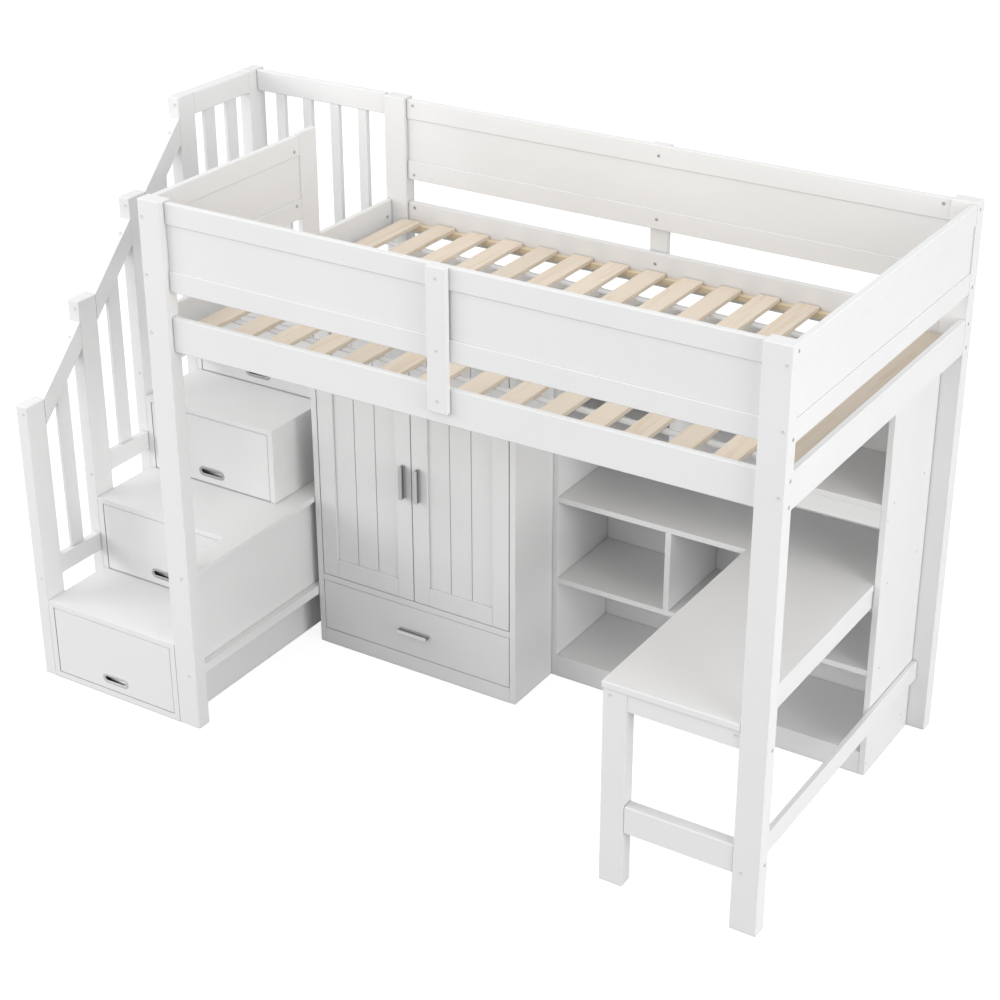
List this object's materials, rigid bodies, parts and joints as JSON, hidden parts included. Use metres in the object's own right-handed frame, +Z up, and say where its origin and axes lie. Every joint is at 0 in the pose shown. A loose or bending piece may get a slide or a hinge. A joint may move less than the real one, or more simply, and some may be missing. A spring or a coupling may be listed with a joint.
{
  "type": "loft bed with desk",
  "caption": "High bed with guards and slats over a desk, an open bookcase and a two-door wardrobe, reached by railed steps whose boxes are drawers.",
  "frame": {"origin": "centre of the footprint's box, on the floor", "axes": "+X to the right along the bed as seen from its front, +Y to the rear, +Z up"},
  "size_m": [2.669, 1.291, 1.799],
  "materials": {
    "white_paint": "satin white paint",
    "white_board": "matt white board",
    "pine": "planed bare wood",
    "nickel": "brushed nickel",
    "steel": "zinc plate",
    "webbing": "woven webbing"
  },
  "bodies": {
    "frame": {"bolt_heads": "steel", "bookcase_back": "white_paint", "bookcase_dividers": "white_paint", "bookcase_front_boards": "white_paint", "bookcase_shelves": "white_paint", "bookcase_sides": "white_paint", "desk_aprons": "white_paint", "desk_leg": "white_paint", "desk_stretcher": "white_paint", "desk_top": "white_paint", "door_pivots": "steel", "drawer_runners": "white_board", "end_rails": "white_paint", "guard_front_rails": "white_paint", "guard_left_rails": "white_paint", "guard_panels": "white_paint", "guard_rear_rails": "white_paint", "guard_right_rails": "white_paint", "low_end_rail": "white_paint", "mid_boards": "white_paint", "posts": "white_paint", "screw_heads": "steel", "side_block": "white_paint", "side_rails": "white_paint", "slat_ledgers": "pine", "slat_straps": "webbing", "slats": "pine", "stair_back": "white_paint", "stair_balusters": "white_paint", "stair_base_rail": "white_paint", "stair_handrails": "white_paint", "stair_low_rails": "white_paint", "stair_newels": "white_paint", "stair_sides": "white_paint", "stair_treads": "white_paint", "wardrobe_back": "white_paint", "wardrobe_decks": "white_paint", "wardrobe_plinth": "white_paint", "wardrobe_sides": "white_paint"},
    "step_drawer_1": {"step_drawer_1_box": "white_board", "step_drawer_1_front": "white_paint", "step_drawer_1_pull": "nickel"},
    "step_drawer_2": {"step_drawer_2_box": "white_board", "step_drawer_2_front": "white_paint", "step_drawer_2_pull": "nickel"},
    "step_drawer_3": {"step_drawer_3_box": "white_board", "step_drawer_3_front": "white_paint", "step_drawer_3_pull": "nickel"},
    "step_drawer_4": {"step_drawer_4_box": "white_board", "step_drawer_4_front": "white_paint", "step_drawer_4_pull": "nickel"},
    "wardrobe_drawer": {"wardrobe_drawer_box": "white_board", "wardrobe_drawer_front": "white_paint", "wardrobe_drawer_handle": "nickel"},
    "door_left": {"door_left_frame": "white_paint", "door_left_handle": "nickel", "door_left_panel": "white_paint"},
    "door_right": {"door_right_frame": "white_paint", "door_right_handle": "nickel", "door_right_panel": "white_paint"}
  },
  "joints": [
    {"name": "step_drawer_1_slide", "type": "slide", "parent": "frame", "child": "step_drawer_1", "axis": [0, -1, 0], "range_m": [0, 0.3]},
    {"name": "step_drawer_2_slide", "type": "slide", "parent": "frame", "child": "step_drawer_2", "axis": [0, -1, 0], "range_m": [0, 0.3]},
    {"name": "step_drawer_3_slide", "type": "slide", "parent": "frame", "child": "step_drawer_3", "axis": [0, -1, 0], "range_m": [0, 0.3]},
    {"name": "step_drawer_4_slide", "type": "slide", "parent": "frame", "child": "step_drawer_4", "axis": [0, -1, 0], "range_m": [0, 0.3]},
    {"name": "wardrobe_drawer_slide", "type": "slide", "parent": "frame", "child": "wardrobe_drawer", "axis": [0, -1, 0], "range_m": [0, 0.35]},
    {"name": "door_left_hinge", "type": "hinge", "parent": "frame", "child": "door_left", "pos_m": [-0.6365, 0.0275, 0.766], "axis": [0, 0, -1], "range_deg": [0, 90]},
    {"name": "door_right_hinge", "type": "hinge", "parent": "frame", "child": "door_right", "pos_m": [0.0985, 0.0275, 0.766], "axis": [0, 0, 1], "range_deg": [0, 100]}
  ]
}
